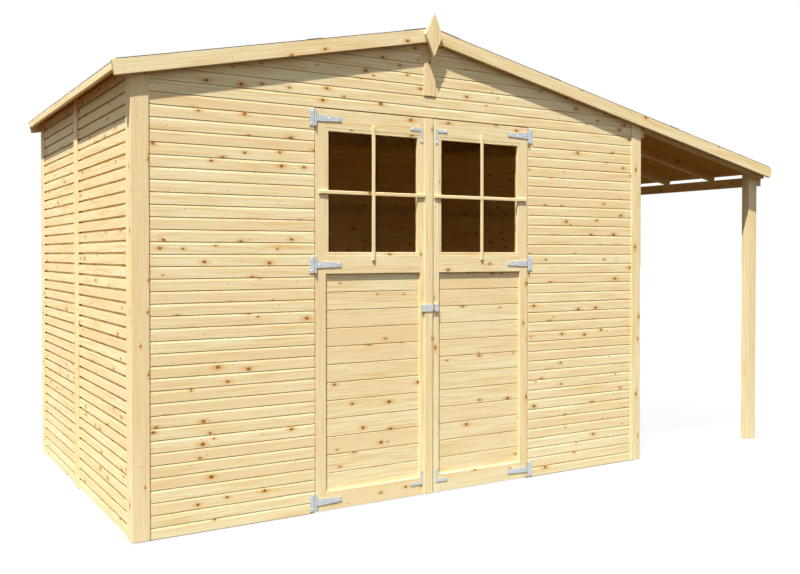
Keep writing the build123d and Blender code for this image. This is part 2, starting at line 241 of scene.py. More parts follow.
# %% Knots
knot_spacing = 0.105
knot_smallest = 0.0024
knot_growth = 0.0056
knotless_share = 0.50
knot_stretch_share = 0.75
halo_stretch_share = 0.58
halo_reach = 2.6
pin_spacing = 0.062
pin_smallest = 0.0011
pin_growth = 0.0013
pinless_share = 0.62
edge_detail_per_metre = 160.0
heart_wobble = 0.6
heart_core = 1.9
heart_falloff = 1.5
halo_wobble = 0.3
pin_core = 1.8
pin_falloff = 1.4


def knot_cells(tree, grain, spacing):
    """Voronoi cells a little longer along the grain: the way to the middle of the cell, the same as a
    vector, and three random numbers for each cell."""
    plane = stretched(tree, grain, (knot_stretch_share, 1.0, 1.0))
    cells = Signal.node(
        tree,
        "ShaderNodeTexVoronoi",
        {"voronoi_dimensions": "2D", "feature": "F1"},
        {"Vector": plane, "Scale": 1.0 / spacing},
    )
    luck = Signal.node(tree, "ShaderNodeSeparateColor", {}, {"Color": cells["Color"]})
    offset = Signal.node(
        tree, "ShaderNodeVectorMath", {"operation": "SUBTRACT"}, {0: plane, 1: cells["Position"]}
    )["Vector"]
    return cells["Distance"] * spacing, offset, luck


def knot_masks(tree, grain):
    """Masks of the dark hearts, the orange halos around them and the pin knots, and a tone per knot."""
    edge = noise(tree, grain, edge_detail_per_metre, 2.0) - 0.5
    distance, offset, luck = knot_cells(tree, grain, knot_spacing)
    has_knot = luck["Green"] > knotless_share
    radius = luck["Red"] * knot_growth + knot_smallest
    heart = (heart_core - (distance / radius + edge * heart_wobble) * heart_falloff).held() * has_knot
    longer = stretched(tree, offset, (halo_stretch_share, 1.0, 0.0))
    reach = Signal.node(tree, "ShaderNodeVectorMath", {"operation": "LENGTH"}, {0: longer})["Value"]
    halo = (1.0 - reach / radius / halo_reach + edge * halo_wobble).held() * has_knot

    pin_distance, _, pin_luck = knot_cells(tree, grain, pin_spacing)
    pin_radius = pin_luck["Red"] * pin_growth + pin_smallest
    has_pin = pin_luck["Green"] > pinless_share
    pin = (pin_core - pin_distance / pin_radius * pin_falloff).held() * has_pin
    return heart, halo, pin, luck["Blue"]


print("knots every", knot_spacing, "m or more")

# %% [markdown]
# The wood around the knots is one colour mixed from three: pale, amber in the growth lines and
# streaks, and a warmer tone that some boards have all over. The walls and trims are planed. The
# roof boards are rough-sawn, and their darker tones are painted shade for the dim underside of the
# roof and canopy. The canopy's rafters, beam and ledger get tones in between, which are also partly
# painted shade, so one function makes all three finishes. Rough wood has no sheen: with one, the
# canopy's underside would mirror the white surroundings and look grey.

# %% Planed pine, and rough-sawn and rafter pine darkened as painted shade
halo_wood = (0.78, 0.41, 0.09, 1.0)
red_knot = (0.40, 0.13, 0.025, 1.0)
brown_knot = (0.20, 0.088, 0.020, 1.0)
pin_knot = (0.36, 0.17, 0.055, 1.0)
growth_lines_per_metre = 60.0
line_wander = 8.0
bend_at_knots = 1.2
line_sharpness = 3.0
wander_stretch = (0.9, 6.0, 1.0)
streak_stretch = (4.0, 110.0, 1.0)
fibre_stretch = (9.0, 900.0, 1.0)
cloud_stretch = (1.3, 16.0, 1.0)
resin_stretch = (2.2, 26.0, 1.0)
board_stretch = (0.05, 0.6, 1.0)
growth_strength = 0.36
streak_strength = 1.8
cloud_strength = 1.1
fibre_strength = 0.8
least_amber = 0.22
resin_level = 0.60
resin_contrast = 7.0
resin_streak_contrast = 3.0
resin_streak_base = 0.45
resin_strength = 0.32
warm_level = 0.42
warm_contrast = 2.6
warm_strength = 0.7
halo_strength = 0.85
pin_strength = 0.85
heart_strength = 0.92
growth_relief = 0.5
fibre_relief = 0.6
heart_relief = 0.4
relief_strength = 0.25
planed_roughness = 0.52
fibre_roughness = 0.16
heart_polish = 0.14


def pine_finish(name, pale, amber, warm, relief_depth, sheen):
    """Pine with growth lines, streaks, resin and knots along the grain map."""
    finish, tree, shader = new_finish(name)
    grain = Signal.node(tree, "ShaderNodeUVMap", {"uv_map": "grain"}, {})["UV"]
    heart, halo, pin, knot_tone = knot_masks(tree, grain)
    wander = noise(tree, stretched(tree, grain, wander_stretch), 1.0, 2.0)
    across = Signal.node(tree, "ShaderNodeSeparateXYZ", {}, {"Vector": grain})["Y"]
    lines = across * growth_lines_per_metre + wander * line_wander + halo * bend_at_knots
    growth = lines.wrapped() ** line_sharpness
    streaks = noise(tree, stretched(tree, grain, streak_stretch), 1.0, 4.0) - 0.5
    fibres = noise(tree, stretched(tree, grain, fibre_stretch), 1.0, 2.0)
    clouds = noise(tree, stretched(tree, grain, cloud_stretch), 1.0, 2.0) - 0.5
    board_tone = noise(tree, stretched(tree, grain, board_stretch), 1.0, 0.0)
    resin = noise(tree, stretched(tree, grain, resin_stretch), 1.0, 1.0) - resin_level
    resin = (resin * resin_contrast).held()

    amber_share = growth * growth_strength + streaks * streak_strength + clouds * cloud_strength
    amber_share = amber_share + (fibres - 0.5) * fibre_strength + least_amber
    resin_streaks = (streaks * resin_streak_contrast + resin_streak_base).held()
    resin_share = resin_streaks * resin * resin_strength
    warm_share = ((board_tone - warm_level) * warm_contrast).held()
    colour = blend_colours(tree, amber_share.held(), pale, amber)
    colour = blend_colours(tree, warm_share * warm_strength, colour, warm)
    colour = blend_colours(tree, (halo * halo_strength + resin_share).held(), colour, halo_wood)
    colour = blend_colours(tree, pin * pin_strength, colour, pin_knot)
    knot_colour = blend_colours(tree, knot_tone, red_knot, brown_knot)
    colour = blend_colours(tree, heart * heart_strength, colour, knot_colour)
    height = growth * growth_relief + fibres * fibre_relief - heart * heart_relief
    relief = bumped(tree, height, relief_strength, relief_depth)
    roughness = (fibres * fibre_roughness + planed_roughness - heart * heart_polish).held()
    feed(tree, shader, Base_Color=colour, Roughness=roughness, Normal=relief)
    shader.inputs["Specular IOR Level"].default_value = sheen
    return finish


planed_tones = ((0.985, 0.85, 0.52, 1.0), (0.85, 0.60, 0.26, 1.0), (0.92, 0.69, 0.37, 1.0))
# Painted shade: the sawn tones are darkened to stand in for the dim light under the roof and canopy.
sawn_shade_tones = ((0.72, 0.36, 0.07, 1.0), (0.59, 0.255, 0.035, 1.0), (0.66, 0.30, 0.055, 1.0))
# Partly painted shade: the rafter tones are darker than planed pine to stand in for the shade under the
# canopy.
rafter_shade_tones = ((0.90, 0.66, 0.30, 1.0), (0.76, 0.48, 0.17, 1.0), (0.83, 0.56, 0.23, 1.0))
pine = pine_finish("planed_pine", *planed_tones, relief_depth=0.0006, sheen=0.05)
sawn_pine_painted_shade = pine_finish("rough_sawn_pine", *sawn_shade_tones, relief_depth=0.0015, sheen=0.0)
rafter_pine_painted_shade = pine_finish("rafter_pine_painted_shade", *rafter_shade_tones, relief_depth=0.0010, sheen=0.0)
print("pine nodes:", len(pine.node_tree.nodes))

# %% [markdown]
# Three finishes are left: zinc-plated ironwork, mineral roofing felt and window glass. Zinc shows
# flat crystals a few millimetres wide, so Voronoi cells change its tone and its roughness a little.
# Felt is a mat of crushed stone: small Voronoi cells on Object coordinates are the chips, and wide
# noise is the weathering. The glass is a nearly clear pane, so that the dim inside shows through
# it. Its faint brown base colour is painted light, standing in for the warm, lit inside seen
# through the glass.

# %% Zinc, felt and glass
crystals_per_metre = 160.0
smears_per_metre = 38.0
crystal_strength = 0.55
smear_strength = 0.5
zinc_roughness = 0.34
crystal_roughness = 0.14
zinc_metallic = 0.85
chips_per_metre = 520.0
weather_per_metre = 5.0
chip_strength = 0.7
weather_strength = 0.8
least_light = 0.12
weather_relief = 0.3
chip_relief_strength = 0.6
chip_height = 0.0012
felt_roughness = 0.78
chip_roughness = 0.15
ripples_per_metre = 6.0
pane_roughness = 0.02
ripple_roughness = 0.02
pane_alpha = 0.05
ripple_alpha = 0.03
pane_sheen = 0.10
dark_zinc = (0.44, 0.465, 0.485, 1.0)
light_zinc = (0.64, 0.665, 0.685, 1.0)
dark_chips = (0.060, 0.062, 0.062, 1.0)
light_chips = (0.19, 0.192, 0.19, 1.0)
# Painted light: the pane's brown base colour stands in for the lit inside seen through the glass.
painted_interior_brown = (0.26, 0.085, 0.002, 1.0)
painted_interior_amber = (0.32, 0.11, 0.004, 1.0)


def cells_and_clouds(tree, cells_per_metre, clouds_per_metre, detail):
    """Voronoi cells, a random colour for each, and soft clouds, all on Object coordinates."""
    place = Signal.node(tree, "ShaderNodeTexCoord", {}, {})["Object"]
    cells = Signal.node(tree, "ShaderNodeTexVoronoi", {}, {"Vector": place, "Scale": cells_per_metre})
    luck = Signal.node(tree, "ShaderNodeSeparateColor", {}, {"Color": cells["Color"]})
    spread = {"Vector": place, "Scale": clouds_per_metre, "Detail": detail}
    return cells, luck, Signal.node(tree, "ShaderNodeTexNoise", {}, spread)["Fac"]


zinc, tree, shader = new_finish("zinc_plated_steel")
_, luck, smears = cells_and_clouds(tree, crystals_per_metre, smears_per_metre, 3.0)
crystal_tone = luck["Red"]
zinc_share = (crystal_tone * crystal_strength + smears * smear_strength).held()
zinc_colour = blend_colours(tree, zinc_share, dark_zinc, light_zinc)
feed(tree, shader, Base_Color=zinc_colour, Roughness=crystal_tone * crystal_roughness + zinc_roughness)
shader.inputs["Metallic"].default_value = zinc_metallic

felt, tree, shader = new_finish("mineral_felt")
chips, luck, weather = cells_and_clouds(tree, chips_per_metre, weather_per_metre, 5.0)
chip_tone = luck["Green"]
chip_share = (chip_tone * chip_strength + (weather - 0.5) * weather_strength + least_light).held()
chip_relief = chips["Distance"] * -1.0 + weather * weather_relief
feed(
    tree,
    shader,
    Base_Color=blend_colours(tree, chip_share, dark_chips, light_chips),
    Roughness=chip_tone * chip_roughness + felt_roughness,
    Normal=bumped(tree, chip_relief, chip_relief_strength, chip_height),
)

glass, tree, shader = new_finish("window_pane")
place = Signal.node(tree, "ShaderNodeTexCoord", {}, {})["Object"]
spread = {"Vector": place, "Scale": ripples_per_metre, "Detail": 1.0}
ripple = Signal.node(tree, "ShaderNodeTexNoise", {}, spread)["Fac"]
# The pane's base colour is painted light for the warm inside behind it.
feed(
    tree,
    shader,
    Base_Color=blend_colours(tree, ripple, painted_interior_brown, painted_interior_amber),
    Roughness=ripple * ripple_roughness + pane_roughness,
    Alpha=ripple * ripple_alpha + pane_alpha,
)
shader.inputs["Specular IOR Level"].default_value = pane_sheen
print("finishes:", [finish.name for finish in (pine, sawn_pine_painted_shade, rafter_pine_painted_shade, zinc, felt, glass)])

# %% [markdown]
# Almost every wooden piece is a board: one profile carried straight along its length. We work out
# all the boards of a wall at once as one array. Each corner of the profile has its own start and
# stop, so a board under the roof gets a slanted end without any cutting. The UV map runs along the
# board and around its profile, with a random shift per board.


# %% Boards from a profile
grain_shift_along = 300.0
grain_shift_across = 60.0
end_grain_squeeze_share = 0.06


def shifts(count):
    """A random place on the endless plank for each board."""
    return chance.uniform((0.0, 0.0), (grain_shift_along, grain_shift_across), (count, 2))


def add_piece(name, points, faces, uvs, finish, body, slot, replaced=()):
    """A mesh object from arrays, with its faces turned outwards, riding on one body."""
    mesh = bpy.data.meshes.new(name)
    mesh.from_pydata(points.tolist(), [], faces)
    mesh.uv_layers.new(name="grain").data.foreach_set("uv", np.asarray(uvs, np.float32).ravel())
    shape = bmesh.new()
    shape.from_mesh(mesh)
    bmesh.ops.recalc_face_normals(shape, faces=shape.faces)
    shape.to_mesh(mesh)
    shape.free()
    mesh.materials.append(finish)
    piece = bpy.data.objects.new(name, mesh)
    bpy.context.scene.collection.objects.link(piece)
    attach(piece, body)
    for node in replaced:
        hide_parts(node)
    return piece


def carried(profile, start, stop, origin, along, across, upward):
    """Points, faces and UVs of straight boards: each profile corner (across, up) runs from its own
    start to its own stop, so point = origin + along * way + across * first + upward * second."""
    boards, corners = start.shape
    ways = np.stack((start, stop), axis=1)
    axes = np.array((along, across, upward), float)
    local = np.concatenate(
        (ways[..., None], np.broadcast_to(profile[:, None], (boards, 2, corners, 2))), axis=-1
    )
    points = (np.array(origin) + local @ axes).reshape(-1, 3)

    ring = np.arange(corners)
    after = np.roll(ring, -1)
    quads = np.stack((ring, after, after + corners, ring + corners), axis=1)
    ends = np.stack((ring[::-1], ring + corners))
    first = np.arange(boards) * 2 * corners
    sides = (first[:, None, None] + quads).reshape(-1, 4)
    caps = (first[:, None, None] + ends).reshape(-1, corners)

    steps = np.linalg.norm(np.roll(profile, -1, axis=1) - profile, axis=2)
    girth = np.concatenate((np.zeros((boards, 1)), np.cumsum(steps, axis=1)), axis=1)
    side_u = np.stack((start, start[:, after], stop[:, after], stop), axis=2)
    side_v = np.stack((girth[:, :-1], girth[:, 1:], girth[:, 1:], girth[:, :-1]), axis=2)
    cap_u = profile[..., 0][:, ends % corners] * end_grain_squeeze_share
    cap_v = profile[..., 1][:, ends % corners]
    shift = shifts(boards)
    side_uv = np.stack((side_u, side_v), axis=-1) + shift[:, None, None]
    cap_uv = np.stack((cap_u, cap_v), axis=-1) + shift[:, None, None]
    uvs = np.concatenate((side_uv.reshape(-1, 2), cap_uv.reshape(-1, 2)))
    return points, sides.tolist() + caps.tolist(), uvs


def straight(profile, start, stop, origin, along, across, upward):
    """Boards whose ends are square."""
    shape = profile.shape[:2]
    return carried(profile, np.full(shape, start), np.full(shape, stop), origin, along, across, upward)


def joined(parts):
    """Several lots of points, faces and UVs as one."""
    points, faces, uvs = [], [], []
    count = 0
    for part_points, part_faces, part_uvs in parts:
        points.append(part_points)
        faces.extend([[corner + count for corner in face] for face in part_faces])
        uvs.append(part_uvs)
        count += len(part_points)
    return np.concatenate(points), faces, np.concatenate(uvs)


print("board helpers ready")

# %% [markdown]
# The walls are lap boards, laid in courses of 50 mm. Each board has a flat face, a slope along its
# top edge that catches the light, and a gap under its bottom edge that reads as a dark line. The
# gap is wider on the side walls. A bump map would give no real shadow in the gap, so the profile is
# real. The hidden rebates behind the gaps are simplified to one tongue per board.

# %% Wall boards
course = 0.050
first_line = 0.0035
front_gap = 0.0019
side_gap = 0.0093
lap_depth = 0.0132
slope_height = 0.0100
front_slope_depth = 0.0014
side_slope_depth = 0.0003
inner_edge = 0.0015
panel_gap = 0.002
side_joint_from_front = 0.981
side_joint = wall_front + side_joint_from_front


def lap_profile(gap, slope_depth):
    """Profile (depth, height) of one board: a gap below, a flat face, a slope along its top, a ledge
    that falls inwards by half the gap, and a tongue behind."""
    return np.array(
        (
            (0.0, gap),
            (0.0, course - slope_height),
            (slope_depth, course),
            (lap_depth, course - gap / 2),
            (lap_depth, course + gap),
            (cladding_thickness - inner_edge, course + gap),
            (cladding_thickness, course + gap - inner_edge),
            (cladding_thickness, gap + inner_edge),
            (cladding_thickness - inner_edge, gap),
        )
    )


def courses(low, high, gap, slope_depth):
    """The lap profile repeated upwards, for the courses that start between two heights."""
    numbers = np.arange(math.floor((high - first_line) / course) + 1)
    starts = first_line + numbers * course + gap
    numbers = numbers[(starts >= low - inner_edge) & (starts < high - inner_edge)]
    lift = np.stack((np.zeros(len(numbers)), first_line + numbers * course), axis=1)
    return lap_profile(gap, slope_depth)[None] + lift[:, None]


def level_boards(start, stop, face, inward):
    """Courses from the ground to the door head, whose ends are upright."""
    profile = courses(0.0, door_head - course / 2, front_gap, front_slope_depth)
    profile[0, profile[0, :, 1] < boards_bottom, 1] = boards_bottom
    return straight(profile, start, stop, face, (1, 0, 0), inward, (0, 0, 1))


def gable_boards(face_y, inward):
    """Courses over the door head: each corner stops where its height meets the roof's underside."""
    profile = courses(door_head - front_gap, gable_peak, front_gap, front_slope_depth)
    profile[..., 1] = np.minimum(profile[..., 1], gable_peak)
    half = (gable_peak - profile[..., 1]) / roof_tan
    start = np.maximum(ridge_x - half, wall_left)
    stop = np.minimum(ridge_x + half, wall_right)
    return carried(profile, start, stop, (0, face_y, 0), (1, 0, 0), (0, inward, 0), (0, 0, 1))


def side_boards(face_x, inward):
    """Courses of a side wall in two panels: each corner is held under the roof boards."""
    profile = courses(0.0, float(under_roof_boards(face_x)), side_gap, side_slope_depth)
    profile[0, profile[0, :, 1] < boards_bottom, 1] = boards_bottom
    profile[..., 1] = np.minimum(profile[..., 1], under_roof_boards(face_x + inward * profile[..., 0]))
    panels = ((inner_front, side_joint - panel_gap / 2), (side_joint + panel_gap / 2, inner_rear))
    return joined(
        straight(profile, start, stop, (face_x, 0, 0), (0, 1, 0), (inward, 0, 0), (0, 0, 1))
        for start, stop in panels
    )


front_face = (0, wall_front, 0)
rear_face = (0, wall_rear, 0)
front_parts = [
    level_boards(start, stop, front_face, (0, 1, 0))
    for start, stop in ((wall_left, opening_left), (opening_right, wall_right))
]
rear_parts = [
    level_boards(start, stop, rear_face, (0, -1, 0))
    for start, stop in ((wall_left, ridge_x - panel_gap / 2), (ridge_x + panel_gap / 2, wall_right))
]
wall_pieces = [
    add_piece("front_lap_boards", *joined(front_parts), pine, "shed", "pine", ["front_wall"]),
    add_piece("rear_lap_boards", *joined(rear_parts), pine, "shed", "pine", ["rear_wall"]),
    add_piece(
        "gable_lap_boards",
        *joined((gable_boards(wall_front, 1.0), gable_boards(wall_rear, -1.0))),
        pine,
        "shed",
        "pine",
        ["gables"],
    ),
    add_piece("left_lap_boards", *side_boards(wall_left, 1.0), pine, "shed", "pine", ["left_wall"]),
    add_piece("right_lap_boards", *side_boards(wall_right, -1.0), pine, "shed", "pine", ["right_wall"]),
]
print("wall faces:", {piece.name: len(piece.data.polygons) for piece in wall_pieces})

# %% [markdown]
# The single timbers, such as posts, rails and bargeboards, already have their right shapes in the
# CAD. They lack only softened edges and grain that runs along each one. A copy of the node is welded
# and cleaned, its separate timbers are found, and the longest edge of each gives the grain's
# direction. A narrow Bevel then takes the sharpness off the edges.

# %% Timbers copied from the CAD
weld_distance = 0.00002
flat_angle = math.radians(1.0)
edge_softening = 0.0014
bevel_angle = math.radians(40.0)
bevel_segments = 2
end_face_share = 0.85
level_face_share = 0.5


def separate_timbers(edges, count):
    """Label of each point: points joined by edges take their group's lowest number."""
    labels = np.arange(count)
    while True:
        lowest = np.minimum(labels[edges[:, 0]], labels[edges[:, 1]])
        spread = labels.copy()
        np.minimum.at(spread, edges[:, 0], lowest)
        np.minimum.at(spread, edges[:, 1], lowest)
        if np.array_equal(spread, labels):
            return np.unique(labels, return_inverse=True)[1]
        labels = spread


def grain_map(mesh, grain_direction):
    """UVs in metres: along = point . grain, across = point . (face normal x grain), and on end faces
    both lie across the grain, the first one squeezed."""
    points = np.empty(len(mesh.vertices) * 3)
    mesh.vertices.foreach_get("co", points)
    points = points.reshape(-1, 3)
    edges = np.empty(len(mesh.edges) * 2, int)
    mesh.edges.foreach_get("vertices", edges)
    edges = edges.reshape(-1, 2)
    labels = separate_timbers(edges, len(points))
    runs = points[edges[:, 1]] - points[edges[:, 0]]
    lengths = np.linalg.norm(runs, axis=1)
    order = np.argsort(-lengths)
    longest = order[np.unique(labels[edges[order, 0]], return_index=True)[1]]
    directions = runs[longest] / lengths[longest, None]
    if grain_direction is not None:
        directions[:] = grain_direction

    corners = np.empty(len(mesh.loops), int)
    mesh.loops.foreach_get("vertex_index", corners)
    totals = np.empty(len(mesh.polygons), int)
    mesh.polygons.foreach_get("loop_total", totals)
    normals = np.empty(len(mesh.polygons) * 3)
    mesh.polygons.foreach_get("normal", normals)
    normals = np.repeat(normals.reshape(-1, 3), totals, axis=0)
    along = directions[labels[corners]]
    on_end = np.abs(np.sum(normals * along, axis=1)) > end_face_share
    side = np.where(np.abs(normals[:, 2:]) > level_face_share, (1.0, 0.0, 0.0), (0.0, 0.0, 1.0))
    along = np.where(on_end[:, None], side, along)
    across = np.cross(normals, along)
    spot = points[corners]
    u = np.sum(spot * along, axis=1) * np.where(on_end, end_grain_squeeze_share, 1.0)
    v = np.sum(spot * across, axis=1)
    return np.stack((u, v), axis=1) + shifts(labels.max() + 1)[labels[corners]]


def soften(piece, width):
    """Take the sharpness off the edges of a piece."""
    bevel = piece.modifiers.new("softened_edges", "BEVEL")
    bevel.width = width
    bevel.segments = bevel_segments
    bevel.limit_method = "ANGLE"
    bevel.angle_limit = bevel_angle


def worked_timber(node, finish, grain_direction=None):
    """A softened copy of a timber node with grain along each of its timbers."""
    shape = bmesh.new()
    shape.from_mesh(frame["nodes"][node].data)
    bmesh.ops.remove_doubles(shape, verts=shape.verts, dist=weld_distance)
    bmesh.ops.dissolve_limit(shape, angle_limit=flat_angle, verts=shape.verts, edges=shape.edges)
    name = node + "_timbers"
    mesh = bpy.data.meshes.new(name)
    shape.to_mesh(mesh)
    shape.free()
    uvs = grain_map(mesh, grain_direction)
    for layer in list(mesh.uv_layers):
        mesh.uv_layers.remove(layer)
    mesh.uv_layers.new(name="grain").data.foreach_set("uv", uvs.astype(np.float32).ravel())
    mesh.materials.clear()
    mesh.materials.append(finish)
    piece = bpy.data.objects.new(name, mesh)
    bpy.context.scene.collection.objects.link(piece)
    soften(piece, edge_softening)
    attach(piece, frame["nodes"][node]["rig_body"])
    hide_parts(node)
    return piece


timber_nodes = (
    "floor_bearers",
    "bottom_plates",
    "wall_studs",
    "top_plates",
    "door_head",
    "gable_corner_boards",
    "side_corner_boards",
    "cover_battens",
    "ridge_purlin",
    "cabin_rafters",
    "left_bargeboards",
    "right_bargeboards",
    "canopy_posts",
    "left_door_stiles",
    "left_door_rails",
    "right_door_stiles",
    "right_door_rails",
    "meeting_strip",
)
rafter_nodes = ("canopy_ledger", "canopy_rafters", "canopy_beam")
upright_grain_nodes = ("finials", "ridge_block")
timbers = [worked_timber(node, pine) for node in timber_nodes]
# The canopy's ledger, rafters and beam get the rafter tones, which are partly painted shade.
timbers += [worked_timber(node, rafter_pine_painted_shade) for node in rafter_nodes]
timbers += [worked_timber(node, pine, (0.0, 0.0, 1.0)) for node in upright_grain_nodes]
print("timbers:", len(timbers), "faces:", sum(len(piece.data.polygons) for piece in timbers))

# %% [markdown]
# The lower half of each door is filled with wider boards of about 80 mm, set back behind the
# frame. They are tongued, so only a thin groove shows between two of them. The same profile idea
# is used, with a small chamfer on both edges. The roof and the floor are boarded in the same way,
# so one profile function serves all three.

# %% Door panels, roof boards and floor boards
groove_gap = 0.0034
groove_depth = 0.0075
chamfer = 0.0012
chamfer_depth = 0.0006
door_board_count = 12
roof_board_width = 0.093
floor_board_width = 0.090


def matched_boards(low, high, count, thickness):
    """Profiles (depth, place) of boards side by side, with a chamfered groove at each joint."""
    pitch = (high - low) / count
    profile = np.array(
        (
            (chamfer_depth, 0.0),
            (0.0, chamfer),
            (0.0, pitch - groove_gap - chamfer),
            (chamfer_depth, pitch - groove_gap),
            (groove_depth, pitch - groove_gap),
            (groove_depth, pitch),
            (thickness, pitch),
            (thickness, 0.0),
        )
    )
    lift = np.stack((np.zeros(count), low + pitch * np.arange(count)), axis=1)
    return profile[None] + lift[:, None]


for leaf in ("left_door", "right_door"):
    low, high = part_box(leaf + "_panel")
    boards = matched_boards(low.z, high.z, door_board_count, high.y - low.y)
    part = straight(boards, low.x, high.x, (0, low.y, 0), (1, 0, 0), (0, 1, 0), (0, 0, 1))
    add_piece(leaf + "_panel_boards", *part, pine, leaf, "pine", [leaf + "_panel"])

for side, sign in (("left", -1.0), ("right", 1.0)):
    low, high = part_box(side + "_roof_deck")
    slope_run = (high.x - low.x) / roof_cos
    count = round(slope_run / roof_board_width)
    boards = matched_boards(0.0, slope_run, count, roof_board_thickness)
    top = (ridge_x, 0, ridge_height)
    down_slope = (sign * roof_cos, 0, -roof_sin)
    off_slope = (sign * roof_sin, 0, roof_cos)
    boards[..., 0] -= roof_board_thickness
    at_ridge = boards[..., 1] == 0.0
    boards[at_ridge, 1] -= boards[at_ridge, 0] * roof_tan
    part = straight(boards, low.y, high.y, top, (0, 1, 0), off_slope, down_slope)
    # These boards take the darker sawn tones, which are painted shade for the roof's underside.
    add_piece(side + "_roof_boards", *part, sawn_pine_painted_shade, "shed", "pine", [side + "_roof_deck"])

low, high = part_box("floor_boards")
boards = matched_boards(low.y, high.y, round((high.y - low.y) / floor_board_width), high.z - low.z)
part = straight(boards, low.x, high.x, (0, 0, high.z), (1, 0, 0), (0, 0, -1), (0, 1, 0))
add_piece("floor_planks", *part, pine, "shed", "pine", ["floor_boards"])
print("door, roof and floor boards made")

# %% [markdown]
# A fascia closes the ends of the roof boards at each eave. It hangs plumb, so its face catches the
# sun, while its top is planed to the slope of the roof. One profile per eave, carried from front to
# rear, gives both boards.

# %% Eave fascias
fascia_height = 0.032
fascia_thickness = 0.016


def fascia_profile(outer_x, inner_x):
    """Profile (across, up): two plumb faces, a level underside and a top on the roof's slope."""
    outer_top = ridge_height - abs(outer_x - ridge_x) * roof_tan
    inner_top = ridge_height - abs(inner_x - ridge_x) * roof_tan
    bottom = outer_top - fascia_height
    corners = ((outer_x, outer_top), (outer_x, bottom), (inner_x, bottom), (inner_x, inner_top))
    return np.array(corners)[None]


low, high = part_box("eave_fascias")
fascia_step = fascia_thickness * roof_cos
fascia_parts = [
    straight(fascia_profile(outer_x, inner_x), low.y, high.y, (0, 0, 0), (0, 1, 0), (1, 0, 0), (0, 0, 1))
    for outer_x, inner_x in ((low.x, low.x + fascia_step), (high.x, high.x - fascia_step))
]
fascias = add_piece("eave_fascia_boards", *joined(fascia_parts), pine, "shed", "pine", ["eave_fascias"])
soften(fascias, edge_softening)
print("fascias made")

# %% [markdown]
# Each window has a thin bead around its pane and a cross of two bars fixed on the outside of the
# door frame, a little longer than the window. The bead is one profile carried around a rectangle
# with mitred corners. On such a window the level bar is halved into the upright one. The joint is
# hidden, so here the upright bar runs through and the level bar is two lengths that meet it.

# %% Window beads and bars
bead_width = 0.014
bead_setback = 0.0006
bead_round = 0.0012
bar_width = 0.016
bar_proud = 0.0065
bar_chamfer = 0.0018
bar_sideways = 0.006
bar_overrun = 0.024
bar_taper_share = 0.35
level_bar_centre = 1.4305
hinge_side_cover = 0.037
meeting_side_cover = 0.030


def framed(profile, low_x, high_x, low_z, high_z, face_y):
    """A profile (inset, depth) carried around a rectangle: every corner point moves in by the inset
    from both sides, which makes the mitres."""
    inset = profile[:, 0]
    y = face_y + profile[:, 1]
    corner_x = np.stack((low_x + inset, high_x - inset, high_x - inset, low_x + inset))
    corner_z = np.stack((low_z + inset, low_z + inset, high_z - inset, high_z - inset))
    points = np.stack((corner_x, np.broadcast_to(y, corner_x.shape), corner_z), axis=-1)
    size = len(profile)
    leg = np.arange(4)[:, None] * size
    next_leg = (np.arange(1, 5) % 4)[:, None] * size
    spot = np.arange(size)[None]
    after = (spot + 1) % size
    faces = np.stack((leg + spot, leg + after, next_leg + after, next_leg + spot), axis=-1)
    girth = np.concatenate(((0.0,), np.cumsum(np.linalg.norm(np.diff(profile, axis=0), axis=1))))
    girth_next = np.append(girth[1:], girth[-1] + bead_width)
    lengths = np.array((high_x - low_x, high_z - low_z) * 2)[:, None]
    run = np.zeros((4, size))
    u = np.stack((run, run, run + lengths, run + lengths), axis=-1)
    v = np.stack((run + girth, run + girth_next, run + girth_next, run + girth), axis=-1)
    uvs = np.stack((u, v), axis=-1) + shifts(4)[:, None, None]
    return points.reshape(-1, 3), faces.reshape(-1, 4).tolist(), uvs.reshape(-1, 2)


def bar_profile(width, depth):
    """Profile (depth, place) of a window bar, with its two outer edges chamfered."""
    half = width / 2
    return np.array(
        (
            (depth, -half),
            (bar_chamfer, -half),
            (0.0, bar_chamfer - half),
            (0.0, half - bar_chamfer),
            (bar_chamfer, half),
            (depth, half),
        )
    )[None]


def window_bar(start, stop, origin, along, across):
    """One bar with slightly tapered ends."""
    profile = bar_profile(bar_width, bar_proud)
    taper = (bar_proud - profile[..., 0]) * bar_taper_share
    return carried(profile, start + taper, stop - taper, origin, along, (0, 1, 0), across)


for leaf, hinge_low in (("left_door", True), ("right_door", False)):
    low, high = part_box(leaf + "_glass")
    face_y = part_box(leaf + "_stiles")[0].y
    depth = low.y - face_y
    bead = np.array(
        (
            (0.0, depth),
            (0.0, bead_setback),
            (bead_width - bead_round, bead_setback),
            (bead_width, bead_setback + bead_round),
            (bead_width, depth),
        )
    )
    beads = framed(bead, low.x, high.x, low.z, high.z, face_y)
    add_piece(leaf + "_window_beads", *beads, pine, leaf, "pine")

    middle_x = (low.x + high.x) / 2 + (-bar_sideways if hinge_low else bar_sideways)
    bar_front = face_y - bar_proud
    upright = window_bar(
        low.z - bar_overrun, high.z + bar_overrun, (middle_x, bar_front, 0), (0, 0, 1), (1, 0, 0)
    )
    near = hinge_side_cover if hinge_low else meeting_side_cover
    far = meeting_side_cover if hinge_low else hinge_side_cover
    level_at = (0, bar_front, level_bar_centre)
    level_left = window_bar(low.x - near, middle_x - bar_width / 2, level_at, (1, 0, 0), (0, 0, 1))
    level_right = window_bar(middle_x + bar_width / 2, high.x + far, level_at, (1, 0, 0), (0, 0, 1))
    bars = joined((upright, level_left, level_right))
    add_piece(leaf + "_window_bars", *bars, pine, leaf, "pine")
print("window beads and bars made")

# %% [markdown]
# Roofing felt comes in rolls one metre wide. It is laid along the roof from the eaves up, so that
# each sheet laps over the one below, and a capping strip is folded over the ridge. Seen from the
# end, that is one thin profile with small steps, carried from front to rear.

# %% Roofing felt
felt_width = 0.92
felt_thickness = 0.003
lap_width = 0.075
lap_step = 0.0022
cap_width = 0.16
lap_slant = 0.004


